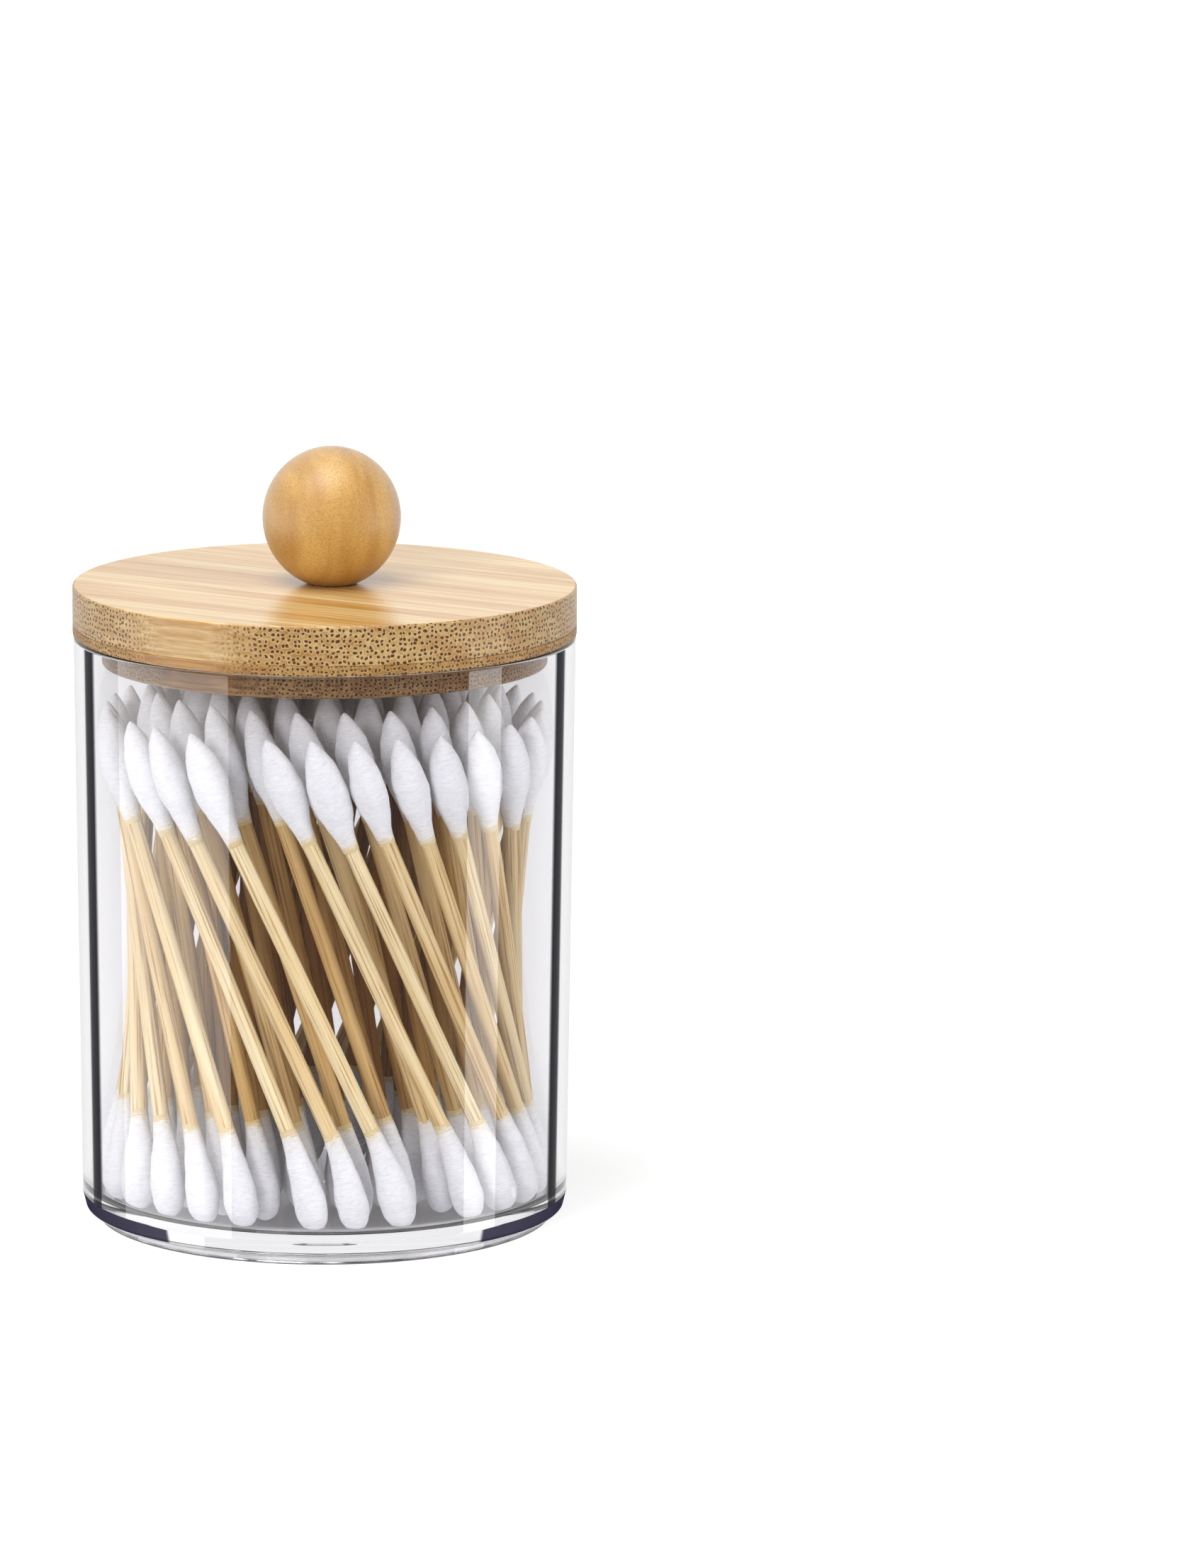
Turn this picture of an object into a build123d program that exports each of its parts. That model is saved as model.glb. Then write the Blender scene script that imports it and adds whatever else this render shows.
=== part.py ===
from build123d import *
import os
from math import asin, cos, degrees, radians, sin, sqrt

# Cotton swab holder: a clear round jar, a bamboo lid with a ball knob, and the swabs standing inside.
# Millimetres. The origin is the middle of the jar's foot, +Z is up and the front faces -Y.

# Jar, one clear moulding
JAR_HEIGHT = 86.7
MOUTH_RADIUS = 36.65
BASE_RADIUS = 35.65
BASE_CORNER_HEIGHT = 3.8
WALL = 2.2
RIM_ROUND = 0.5
HEEL_RADIUS = 35.1
HEEL_HEIGHT = 1.5
FOOT_RADIUS = 33.4
FOOT_WIDTH = 2.4
FOOT_ROUND = 0.3
FLOOR_TOP = 4.5
FLOOR_UNDERSIDE = 1.9
INNER_CORNER_ROUND = 1.2
GATE_DISH_RADIUS = 3.0
GATE_DISH_DEPTH = 0.4
GATE_STUB_RADIUS = 0.9
GATE_STUB_HEIGHT = 0.25

# Lid, bamboo board on a thinner bamboo ply, with a plug disc glued under it
LID_RADIUS = 36.75
PLY_THICKNESS = 1.5
BOARD_THICKNESS = 5.7
LID_EDGE_ROUND = 0.35
PLY_EDGE_ROUND = 0.2
PLUG_RADIUS = 32.5
PLUG_THICKNESS = 3.9
PLUG_EDGE_ROUND = 0.6

# Ball knob, turned wood, glued on a dowel that stands a little to the right of the middle
KNOB_OFFSET_X = 1.0
KNOB_HALF_WIDTH = 10.1
KNOB_HALF_HEIGHT = 10.35
KNOB_CENTRE_ABOVE_LID = 9.8
DOWEL_RADIUS = 2.5
DOWEL_DEPTH_IN_KNOB = 8.0
DOWEL_CHAMFER = 0.4
GLUE_GAP = 0.06

# Swab, a bamboo stick with a pointed head up and a round head down
SWAB_LENGTH = 78.0
STICK_RADIUS = 1.15
SWAB_SIDES = 8
# Heads are (distance from the end, radius) pairs, lowest first. The core swabs have fewer of them.
ROUND_HEAD = ((0.0, 0.5), (0.7, 1.45), (2.2, 2.2), (4.6, 2.35), (9.5, 1.8), (14.5, STICK_RADIUS))
POINTED_HEAD = ((17.0, STICK_RADIUS), (13.0, 1.9), (8.6, 2.5), (5.2, 2.3), (2.0, 1.35), (0.0, 0.35))
CORE_ROUND_HEAD = ((0.0, 0.8), (2.0, 2.2), (6.0, 2.2), (14.5, STICK_RADIUS))
CORE_POINTED_HEAD = ((17.0, STICK_RADIUS), (8.6, 2.4), (3.5, 1.8), (0.0, 0.35))

# The swabs lean as a twisted bundle. Angles are in degrees round +Z, and -90 is the front.
WALL_RING_TIP_RADIUS = 31.9
WALL_RING_FOOT_RADIUS = 31.3
WALL_RING_TWIST = 57.0
WALL_RING_FRONT = (-168, -149, -138.5, -126, -105, -93.5, -82.6, -71.5, -59.7, -48, -35.5, -24, -12)
WALL_RING_BACK_COUNT = 16
WALL_RING_BACK_PITCH = 12.05
SECOND_RING_COUNT = 24
SECOND_RING_RADIUS = 25.6
SECOND_RING_TWIST = 50.0
SECOND_RING_START = -114.0
CORE_RINGS = ((20, 18.8, 45.0), (12, 12.2, 40.0))  # count, radius, twist


def turned(edges):
    """Solid turned round +Z from a closed half outline, drawn as (radius, height)."""
    return revolve(Plane.XZ * make_face(edges), Axis.Z)


def turned_outline(points):
    return turned(Polyline(*points, close=True).edges())


def disc(radius, low, high):
    """Round disc between two heights."""
    return Pos(0, 0, low) * Cylinder(radius, high - low, align=(Align.CENTER, Align.CENTER, Align.MIN))


def circles_at(shape, height):
    """The round edges of a turned solid at one height."""
    return shape.edges().filter_by(GeomType.CIRCLE).filter_by_position(Axis.Z, height, height)


def jar_body():
    foot_inner_radius = FOOT_RADIUS - FOOT_WIDTH
    outer = turned_outline([
        (0, FLOOR_UNDERSIDE), (foot_inner_radius, FLOOR_UNDERSIDE), (foot_inner_radius, 0),
        (FOOT_RADIUS, 0), (FOOT_RADIUS, HEEL_HEIGHT), (HEEL_RADIUS, HEEL_HEIGHT),
        (BASE_RADIUS, BASE_CORNER_HEIGHT), (MOUTH_RADIUS, JAR_HEIGHT), (0, JAR_HEIGHT),
    ])
    outer = fillet(circles_at(outer, 0), FOOT_ROUND)
    draft = (MOUTH_RADIUS - BASE_RADIUS) / (JAR_HEIGHT - BASE_CORNER_HEIGHT)
    floor_radius = BASE_RADIUS - WALL + draft * (FLOOR_TOP - BASE_CORNER_HEIGHT)
    inside = turned_outline([
        (0, FLOOR_TOP), (floor_radius, FLOOR_TOP), (MOUTH_RADIUS - WALL, JAR_HEIGHT), (0, JAR_HEIGHT),
    ])
    inside = fillet(circles_at(inside, FLOOR_TOP), INNER_CORNER_ROUND)
    body = outer - inside
    body = fillet(circles_at(body, JAR_HEIGHT), RIM_ROUND)
    dish_top = FLOOR_UNDERSIDE + GATE_DISH_DEPTH
    dish = disc(GATE_DISH_RADIUS, FLOOR_UNDERSIDE, dish_top)
    stub = disc(GATE_STUB_RADIUS, dish_top - GATE_STUB_HEIGHT, dish_top)
    return body - (dish - stub)


def lid_ply():
    ply = disc(LID_RADIUS, JAR_HEIGHT, JAR_HEIGHT + PLY_THICKNESS)
    return fillet(ply.edges().sort_by(Axis.Z)[0], PLY_EDGE_ROUND)


def lid_board(dowel_hole):
    low = JAR_HEIGHT + PLY_THICKNESS
    board = disc(LID_RADIUS, low, low + BOARD_THICKNESS)
    board = fillet(board.edges().sort_by(Axis.Z)[-1], LID_EDGE_ROUND)
    return board - dowel_hole


def plug_disc():
    plug = disc(PLUG_RADIUS, JAR_HEIGHT - PLUG_THICKNESS, JAR_HEIGHT)
    return fillet(plug.edges().sort_by(Axis.Z)[0], PLUG_EDGE_ROUND)


def knob(lid_top, dowel_hole):
    """Turned ball, slightly taller than wide, cut flat where it stands on the lid."""
    centre = (0, lid_top + KNOB_CENTRE_ABOVE_LID)
    flat_angle = degrees(asin(-KNOB_CENTRE_ABOVE_LID / KNOB_HALF_HEIGHT))
    arc = 90 - flat_angle
    side = EllipticalCenterArc(centre, KNOB_HALF_WIDTH, KNOB_HALF_HEIGHT, flat_angle, arc_size=arc)
    ball = turned([side, Line(side @ 1, (0, lid_top)), Line((0, lid_top), side @ 0)])
    return Pos(KNOB_OFFSET_X, 0, 0) * ball - dowel_hole


def dowel_between(low, high, gap):
    """Dowel or its hole, from low to high, on the knob's axis. The hole is wider by the glue gap."""
    pin = disc(DOWEL_RADIUS + gap, low, high)
    if gap == 0:
        pin = chamfer(pin.edges().filter_by(GeomType.CIRCLE), DOWEL_CHAMFER)
    return Pos(KNOB_OFFSET_X, 0, 0) * pin


def flat_sided(profile, sides):
    """Closed solid with flat sides round +Z through (height, radius) pairs, lowest first."""
    def corner(level, side):
        height, radius = profile[level]
        angle = radians(360 * side / sides)
        return Vector(radius * cos(angle), radius * sin(angle), height)

    faces = []
    for level in range(len(profile) - 1):
        for side in range(sides):
            low = [corner(level, side), corner(level, side + 1)]
            high = [corner(level + 1, side + 1), corner(level + 1, side)]
            faces.append(Face(Wire.make_polygon(low + high, close=True)))
    for level in (0, len(profile) - 1):
        faces.append(Face(Wire.make_polygon([corner(level, side) for side in range(sides)], close=True)))
    return Solid(Shell(faces))


def swab(round_head, pointed_head):
    """One swab standing on its round head."""
    upper = [(SWAB_LENGTH - depth, radius) for depth, radius in pointed_head]
    return flat_sided(list(round_head) + upper, SWAB_SIDES)


def leaning(piece, tip_angle, twist, tip_radius, foot_radius, foot_end_radius):
    """The swab with its foot on the floor and its tip on a circle, twisted round +Z between them."""
    foot_angle = radians(tip_angle + twist)
    foot_x, foot_y = foot_radius * cos(foot_angle), foot_radius * sin(foot_angle)
    tip_x, tip_y = tip_radius * cos(radians(tip_angle)), tip_radius * sin(radians(tip_angle))
    lean = sqrt((tip_x - foot_x) ** 2 + (tip_y - foot_y) ** 2)
    rise = sqrt(SWAB_LENGTH ** 2 - lean ** 2)
    foot = Vector(foot_x, foot_y, FLOOR_TOP + foot_end_radius * lean / SWAB_LENGTH)
    along = Vector(tip_x - foot_x, tip_y - foot_y, rise)
    return Plane(origin=foot, z_dir=along).location * piece


def wall_ring_angles():
    """Tip angles of the swabs against the wall: those seen in front, then an even row behind."""
    last = WALL_RING_FRONT[-1]
    behind = [last + WALL_RING_BACK_PITCH * (i + 1) for i in range(WALL_RING_BACK_COUNT)]
    return list(WALL_RING_FRONT) + behind


def swabs():
    """Named swabs of the two outer rings, and the core rings as one group."""
    full = swab(ROUND_HEAD, POINTED_HEAD)
    end_radius = ROUND_HEAD[0][1]
    wall = (WALL_RING_TWIST, WALL_RING_TIP_RADIUS, WALL_RING_FOOT_RADIUS, end_radius)
    second = (SECOND_RING_TWIST, SECOND_RING_RADIUS, SECOND_RING_RADIUS, end_radius)
    placed = [leaning(full, angle, *wall) for angle in wall_ring_angles()]
    for i in range(SECOND_RING_COUNT):
        angle = SECOND_RING_START + 360 * i / SECOND_RING_COUNT
        placed.append(leaning(full, angle, *second))
    named = {f"swab_{number:02d}": piece for number, piece in enumerate(placed, start=1)}

    plain = swab(CORE_ROUND_HEAD, CORE_POINTED_HEAD)
    core = []
    for count, radius, twist in CORE_RINGS:
        for i in range(count):
            core.append(leaning(plain, 360 * i / count, twist, radius, radius, CORE_ROUND_HEAD[0][1]))
    named["core_swabs"] = Compound(core)
    return named


def build():
    lid_top = JAR_HEIGHT + PLY_THICKNESS + BOARD_THICKNESS
    dowel_low = JAR_HEIGHT + PLY_THICKNESS
    dowel_high = lid_top + DOWEL_DEPTH_IN_KNOB
    dowel_hole = dowel_between(dowel_low, dowel_high + GLUE_GAP, GLUE_GAP)
    nodes = {
        "jar_body": jar_body(),
        "lid_board": lid_board(dowel_hole),
        "lid_ply": lid_ply(),
        "plug_disc": plug_disc(),
        "knob": knob(lid_top, dowel_hole),
        "knob_dowel": dowel_between(dowel_low, dowel_high, 0),
    }
    nodes.update(swabs())
    return nodes


os.makedirs("parts", exist_ok=True)
for name, shape in build().items():
    export_step(shape, f"parts/{name}.step")
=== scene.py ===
import math
import random
from functools import partial

import bmesh
import bpy
import numpy as np
from bpy.props import FloatProperty, FloatVectorProperty, IntProperty, PointerProperty
from mathutils import Matrix, Vector


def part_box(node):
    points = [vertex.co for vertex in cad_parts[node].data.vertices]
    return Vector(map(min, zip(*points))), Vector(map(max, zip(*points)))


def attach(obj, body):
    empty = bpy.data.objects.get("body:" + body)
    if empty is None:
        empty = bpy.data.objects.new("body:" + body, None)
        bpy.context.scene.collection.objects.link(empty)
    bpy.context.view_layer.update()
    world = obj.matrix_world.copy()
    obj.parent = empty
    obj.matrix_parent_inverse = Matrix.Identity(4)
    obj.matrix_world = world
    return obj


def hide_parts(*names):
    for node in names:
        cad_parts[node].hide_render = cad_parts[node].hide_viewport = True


bl_info = {
    "name": "Cotton swab holder",
    "version": (1, 0, 0),
    "blender": (4, 5, 0),
    "location": "View3D > Sidebar > Swab holder",
    "description": "Clear swab jar with a bamboo lid and ball knob, dressed around its CAD frame",
    "category": "Object",
}

MM = 0.001
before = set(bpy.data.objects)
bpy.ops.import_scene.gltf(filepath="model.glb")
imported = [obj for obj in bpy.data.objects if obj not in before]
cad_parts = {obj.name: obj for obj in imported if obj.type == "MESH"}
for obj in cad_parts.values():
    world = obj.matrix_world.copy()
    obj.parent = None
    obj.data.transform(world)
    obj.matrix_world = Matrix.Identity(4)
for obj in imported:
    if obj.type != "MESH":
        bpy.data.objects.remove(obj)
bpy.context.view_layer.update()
JAR_LOW, JAR_HIGH = (np.array(corner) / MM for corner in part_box("jar_body"))
BOARD_LOW, BOARD_HIGH = (np.array(corner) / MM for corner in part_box("lid_board"))
PLY_LOW, PLY_HIGH = (np.array(corner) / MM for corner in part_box("lid_ply"))
PLUG_LOW, PLUG_HIGH = (np.array(corner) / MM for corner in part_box("plug_disc"))
KNOB_LOW, KNOB_HIGH = (np.array(corner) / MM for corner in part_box("knob"))
KNOB_HALF_HEIGHT = 10.35  # mm, to the middle of the ball, which is cut flat below


def linear(code):
    """Linear colour with full alpha from an sRGB hex code."""
    parts = [int(code[i:i + 2], 16) / 255 for i in (1, 3, 5)]
    return [p / 12.92 if p <= 0.04045 else ((p + 0.055) / 1.055) ** 2.4 for p in parts] + [1.0]


def grey(level):
    return (level, level, level, 1.0)


def colour(name, description, code):
    """Colour that a user can change, from its sRGB hex code."""
    return FloatVectorProperty(
        name=name, description=description, default=linear(code), subtype="COLOR", size=4, min=0.0, max=1.0)


class JarSizes(bpy.types.PropertyGroup):
    wall: FloatProperty(name="Wall", description="Wall thickness, mm", default=2.2, min=0.5)
    base_radius: FloatProperty(name="Base radius", description="Outer radius at the heel, mm", default=35.65)
    base_corner: FloatProperty(name="Heel top", description="Height where the wall starts, mm", default=3.8)
    heel_radius: FloatProperty(name="Heel radius", description="Radius at the foot of the heel, mm", default=35.1)
    heel_height: FloatProperty(name="Heel height", description="Height of the step over the foot, mm", default=1.5)
    foot_radius: FloatProperty(name="Foot radius", description="Outer radius of the foot ring, mm", default=33.4)
    foot_width: FloatProperty(name="Foot width", description="Width of the foot ring, mm", default=2.4)
    floor_top: FloatProperty(name="Floor", description="Height of the inside floor, mm", default=4.5)
    floor_under: FloatProperty(name="Underside", description="Height of the floor's underside, mm", default=1.9)
    gate_radius: FloatProperty(name="Gate", description="Radius of the dish round the gate mark, mm", default=3.0)
    gate_depth: FloatProperty(name="Gate depth", description="Depth of the dish round the gate mark, mm", default=0.4)
    segments: IntProperty(name="Segments", description="Steps round the jar", default=288, min=64)
    tint: colour("Tint", "Clear polystyrene", "#F8F7F9")


class LidSizes(bpy.types.PropertyGroup):
    board_round: FloatProperty(name="Board edge", description="Rounding of the board's top edge, mm", default=0.35)
    ply_round: FloatProperty(name="Ply edge", description="Rounding of the ply's lower edge, mm", default=0.2)
    plug_round: FloatProperty(name="Plug edge", description="Rounding of the plug's lower edge, mm", default=0.6)
    groove_round: FloatProperty(name="Groove", description="Rounding each side of the glue line, mm", default=0.15)
    grain_angle: FloatProperty(
        name="Grain", description="Direction of the bamboo's grain", default=math.radians(-33), subtype="ANGLE")
    bundle_gap: FloatProperty(name="Bundles", description="Spacing of the vascular bundles, mm", default=0.8)
    board_colour: colour("Board", "Bamboo board, oiled", "#CBA35F")
    ply_colour: colour("Ply", "Bamboo ply, a browner lot", "#B78B49")
    # Painted shade: the plug's colour is darkened for the shade under the lid
    plug_colour: colour("Plug", "Bamboo plug, left without oil, darkened as painted shade", "#835825")


class KnobSizes(bpy.types.PropertyGroup):
    wood: colour("Wood", "Turned wood under lacquer", "#AD7F39")
    wood_light: colour("Light bands", "Paler growth bands", "#C79C54")


class SwabSizes(bpy.types.PropertyGroup):
    stick_radius: FloatProperty(name="Stick", description="Radius of a bamboo stick, mm", default=1.15)
    sides: IntProperty(name="Sides", description="Steps round a cotton head", default=36, min=8)
    fuzz: FloatProperty(name="Lumps", description="Height of the cotton's lumps, mm", default=0.12)
    bend: FloatProperty(name="Bend", description="How far a foot head hangs off its stick's line, mm", default=1.5)
    cotton: colour("Cotton", "Bleached cotton", "#F2F2F5")


class StageSizes(bpy.types.PropertyGroup):
    lens: FloatProperty(name="Lens", description="Focal length on a 36 mm sensor, mm", default=210.3)
    distance: FloatProperty(name="Distance", description="Camera's distance from the jar's axis, mm", default=1315.6)
    height: FloatProperty(name="Height", description="Camera's height over the floor, mm", default=319.6)
    pitch: FloatProperty(name="Pitch", default=math.radians(10.986), subtype="ANGLE", description="Downward tilt")
    yaw: FloatProperty(name="Yaw", default=math.radians(1.680), subtype="ANGLE", description="Turn to the right")
    roll: FloatProperty(name="Roll", default=math.radians(0.317), subtype="ANGLE", description="Turn about the lens")
    ambient: FloatProperty(name="Ambient", description="Strength of the soft light from the front", default=0.55)


# Settings of the nodes that the materials use most
MIX = {"data_type": "RGBA"}
TINT = {"data_type": "RGBA", "blend_type": "MULTIPLY"}
PLUS = {"operation": "ADD"}
LESS = {"operation": "SUBTRACT"}
TIMES = {"operation": "MULTIPLY"}
LARGER = {"operation": "MAXIMUM"}
A, B = 6, 7  # the colour inputs of a mix


def add_node(tree, kind, links=None, stops=(), **settings):
    """One shader node with its settings, its inputs and, for a ramp, its (position, colour) stops.

    A link is a value, an output of another node, or a node, which stands for its first output in use."""
    node = tree.nodes.new("ShaderNode" + kind)
    for name, value in settings.items():
        setattr(node, name, value)
    while stops and len(node.color_ramp.elements) < len(stops):
        node.color_ramp.elements.new(0.5)
    for number, (position, shade) in enumerate(stops):
        node.color_ramp.elements[number].position = position
        node.color_ramp.elements[number].color = shade
    for name, value in (links or {}).items():
        if isinstance(value, bpy.types.Node):
            value = next(output for output in value.outputs if output.enabled)
        if isinstance(value, bpy.types.NodeSocket):
            tree.links.new(value, node.inputs[name])
        else:
            node.inputs[name].default_value = value
    return node


def new_material(name):
    """Empty material, and the call that adds nodes to it."""
    material = bpy.data.materials.new(name)
    material.use_nodes = True
    material.node_tree.nodes.clear()
    return material, partial(add_node, material.node_tree)


def room_light(add, direction):
    """What mirrors show of the room: dim in front of the jar, where the camera stands, and white behind it."""
    behind = add("SeparateXYZ", {0: direction}).outputs["Y"]
    return add("MapRange", {"Value": behind, "From Min": -0.2, "From Max": 0.5, "To Min": 0.14, "To Max": 1.0})


def in_millimetres(add, turn=0.0, stretch=(1, 1, 1)):
    """Object coordinates in mm, turned round Z and stretched, so that a pattern's scale is a real size."""
    place = add("TexCoord").outputs["Object"]
    turned = add("VectorRotate", {"Vector": place, "Angle": -turn}, rotation_type="Z_AXIS")
    return add("VectorMath", {0: turned, 1: [1000 / s for s in stretch]}, **TIMES)


def round_the_edge(add, radius, pitch):
    """Position on a disc's edge, counted in pitches along the edge from the front and upwards."""
    place = add("SeparateXYZ", {0: add("TexCoord").outputs["Object"]}).outputs
    angle = add("Math", {0: place["X"], 1: add("Math", {0: place["Y"], 1: -1.0}, **TIMES)}, operation="ARCTAN2")
    along = add("Math", {0: angle, 1: radius / pitch}, **TIMES)
    up = add("Math", {0: place["Z"], 1: 1000 / pitch}, **TIMES)
    return add("CombineXYZ", {"X": along, "Y": up})


def bamboo_material(name, base, dark, light, angle, gap, radius, cut_roughness):
    """Laminated bamboo, sawn, sanded and thinly oiled.

    Its fibres run one way: across the cut ends they show as rows of dark dots, each ringed by a painted highlight,
    and along the grain as fine streaks. The satin oil mirrors the bright room at a low angle."""
    material, add = new_material(name)
    # The bundles are a gap apart, and their rows wander a little
    across = round_the_edge(add, radius, gap)
    wander = add("TexNoise", {"Vector": across, "Scale": 0.4, "Detail": 2.0}).outputs["Color"]
    bent = add("VectorMath", {0: wander, 1: (1.6, 1.0, 0.0), 2: across}, operation="MULTIPLY_ADD")
    cells = add("TexVoronoi", {"Vector": bent, "Scale": 1.0, "Randomness": 0.5}, voronoi_dimensions="2D")
    dots = add("ValToRGB", {0: cells}, [(0, grey(1)), (0.22, grey(1)), (0.32, grey(0)), (1, grey(0))])
    # Painted highlight: a pale ring round each sunken dot stands for the light caught on its rim
    rim_highlights = add("ValToRGB", {0: cells}, [(0.26, grey(0)), (0.36, grey(1)), (0.5, grey(0)), (1, grey(0))])
    # Along the grain, streaks of 0.5 mm lie in strips some mm wide, with fibres of 0.2 mm
    lengthwise = in_millimetres(add, angle, (34.0, 0.5, 0.5))
    streaks = add("TexNoise", {"Vector": lengthwise, "Scale": 1.0, "Detail": 4.0, "Roughness": 0.62})
    streaked = add("ValToRGB", {0: streaks}, [(0.38, grey(0)), (0.62, grey(0.8))])
    pale = add("Mix", {0: streaked, A: base, B: linear(light)}, **MIX)
    strips = add("TexNoise", {"Vector": in_millimetres(add, angle, (90.0, 4.0, 2.4)), "Scale": 1.0, "Detail": 1.0})
    banded = add("ValToRGB", {0: strips}, [(0.4, grey(0)), (0.62, grey(1))])
    toned = add("Mix", {0: banded, A: pale, B: linear("#EAD5B8")}, **TINT)
    fibres = add("TexNoise", {"Vector": in_millimetres(add, angle, (9.0, 0.22, 0.22)), "Scale": 1.0})
    fine = add("ValToRGB", {0: fibres}, [(0.3, grey(0.86)), (0.7, grey(1.06))])
    # The dots show on cut ends, and hardly on faces along the grain
    normal = add("NewGeometry").outputs["True Normal"]
    grain = (math.cos(angle), math.sin(angle), 0.0)
    facing = add("VectorMath", {0: normal, 1: grain}, operation="DOT_PRODUCT")
    cut_end = add("ValToRGB", {0: add("Math", {0: facing, 1: 0.0}, operation="ABSOLUTE")}, [
        (0.11, grey(0)), (0.33, grey(1))])
    dotted = add("Mix", {0: add("Math", {0: dots, 1: cut_end}, **TIMES), A: toned, B: linear(dark)}, **MIX)
    rim_highlight = add("Math", {0: add("Math", {0: rim_highlights, 1: cut_end}, **TIMES), 1: 0.7}, **TIMES)
    highlighted = add("Mix", {0: rim_highlight, A: dotted, B: linear(light)}, **MIX)
    # Painted shade: the sawn sides are darker than the sanded top, and cut ends darkest
    upright = add("Math", {0: add("SeparateXYZ", {0: normal}).outputs["Z"], 1: 0.0}, operation="ABSOLUTE")
    sawn = add("Mix", {0: upright, A: (0.67, 0.65, 0.64, 1.0), B: grey(1)}, **MIX)
    painted_end_shade = add("Mix", {0: cut_end, A: sawn, B: (0.61, 0.56, 0.49, 1.0)}, **MIX)
    lined = add("Mix", {0: 1.0, A: highlighted, B: fine}, **TINT)
    # Sunken dots and raised streaks
    sunk = add("Math", {0: dots, 1: add("Math", {0: cut_end, 1: -1.0}, **TIMES)}, **TIMES)
    relief = add("Math", {0: sunk, 1: add("Math", {0: streaks, 1: 0.3}, **TIMES)}, **PLUS)
    shader = add("BsdfPrincipled", {
        "Base Color": add("Mix", {0: 1.0, A: lined, B: painted_end_shade}, **TINT),
        "Roughness": add("ValToRGB", {0: cut_end}, [(0, grey(0.2)), (1, grey(cut_roughness))]),
        "IOR": 1.5,
        "Specular IOR Level": add("ValToRGB", {0: cut_end}, [(0, grey(0.5)), (1, grey(0.55))]),
        "Normal": add("Bump", {"Height": relief, "Distance": 0.09 * MM, "Strength": 0.8}),
    })
    add("OutputMaterial", {"Surface": shader})
    return material


def knob_material(wood, wood_light):
    """Turned hardwood ball, sanded and satin lacquered: a fine pored speckle, faint growth bands, soft gloss."""
    material, add = new_material("Turned wood ball, satin lacquer")
    here = in_millimetres(add)
    pores = add("TexNoise", {"Vector": here, "Scale": 4.5, "Detail": 3.0, "Roughness": 0.65})
    growth = add("TexNoise", {"Vector": in_millimetres(add, 0.3, (3.2, 12.0, 24.0)), "Scale": 1.0})
    banded = add("ValToRGB", {0: growth}, [(0.35, grey(0)), (0.65, grey(1))])
    base = add("Mix", {0: banded, A: wood, B: wood_light}, **MIX)
    speckle = add("ValToRGB", {0: pores}, [
        (0.34, (0.74, 0.66, 0.5, 1)), (0.5, grey(0.98)), (0.66, (1.1, 1.12, 1.16, 1))])
    scuffs = add("TexNoise", {"Vector": here, "Scale": 2.2, "Detail": 4.0, "Roughness": 0.7, "Distortion": 0.8})
    shader = add("BsdfPrincipled", {
        "Base Color": add("Mix", {0: 1.0, A: base, B: speckle}, **TINT),
        "Roughness": 0.42,
        "IOR": 1.5,
        "Coat Weight": 1.0,
        "Coat Roughness": 0.24,
        "Coat Normal": add("Bump", {"Height": scuffs, "Distance": 0.18 * MM, "Strength": 0.7}),
        "Normal": add("Bump", {"Height": pores, "Distance": 0.04 * MM, "Strength": 0.35}),
    })
    add("OutputMaterial", {"Surface": shader})
    return material


def cotton_material(white):
    """Bleached cotton wound on a stick: matt white with fine fibres round it, sheer where it thins out."""
    material, add = new_material("Wound bleached cotton")
    own = add("Attribute", attribute_name="own_mm").outputs["Vector"]
    cover = add("Attribute", attribute_name="cover").outputs["Fac"]
    # Wound fibres lie round the stick, six times finer along it than round it
    wound = add("VectorMath", {0: own, 1: (0.9, 0.9, 5.5)}, **TIMES)
    fibres = add("TexNoise", {"Vector": wound, "Scale": 1.0, "Detail": 5.0, "Roughness": 0.65, "Distortion": 0.6})
    fluff = add("TexNoise", {"Vector": own, "Scale": 1.1, "Detail": 3.0, "Roughness": 0.6})
    shaded = add("ValToRGB", {0: fibres}, [(0.32, grey(0)), (0.6, grey(1))])
    body = add("Mix", {0: shaded, A: linear("#DEDFE3"), B: white}, **MIX)
    uneven = add("Math", {0: add("Math", {0: fibres, 1: 0.5}, **LESS), 1: 0.9}, **TIMES)
    frayed = add("Math", {0: cover, 1: uneven}, **PLUS)
    thick = add("ValToRGB", {0: frayed}, [(0.12, grey(0)), (0.28, grey(0.78)), (0.9, grey(1))])
    relief = add("Math", {0: add("Math", {0: fibres, 1: 0.6}, **TIMES), 1: fluff}, **PLUS)
    shader = add("BsdfPrincipled", {
        "Base Color": add("Mix", {0: thick, A: linear("#DDC794"), B: body}, **MIX),
        "Roughness": 0.95,
        "Specular IOR Level": 0.15,
        "Subsurface Weight": 0.25,
        "Subsurface Radius": (0.9, 0.85, 0.8),
        "Subsurface Scale": MM,
        "Sheen Weight": 0.25,
        "Sheen Roughness": 0.6,
        "Normal": add("Bump", {"Height": relief, "Distance": 0.35 * MM, "Strength": 0.8}),
    })
    add("OutputMaterial", {"Surface": shader})
    return material


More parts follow.
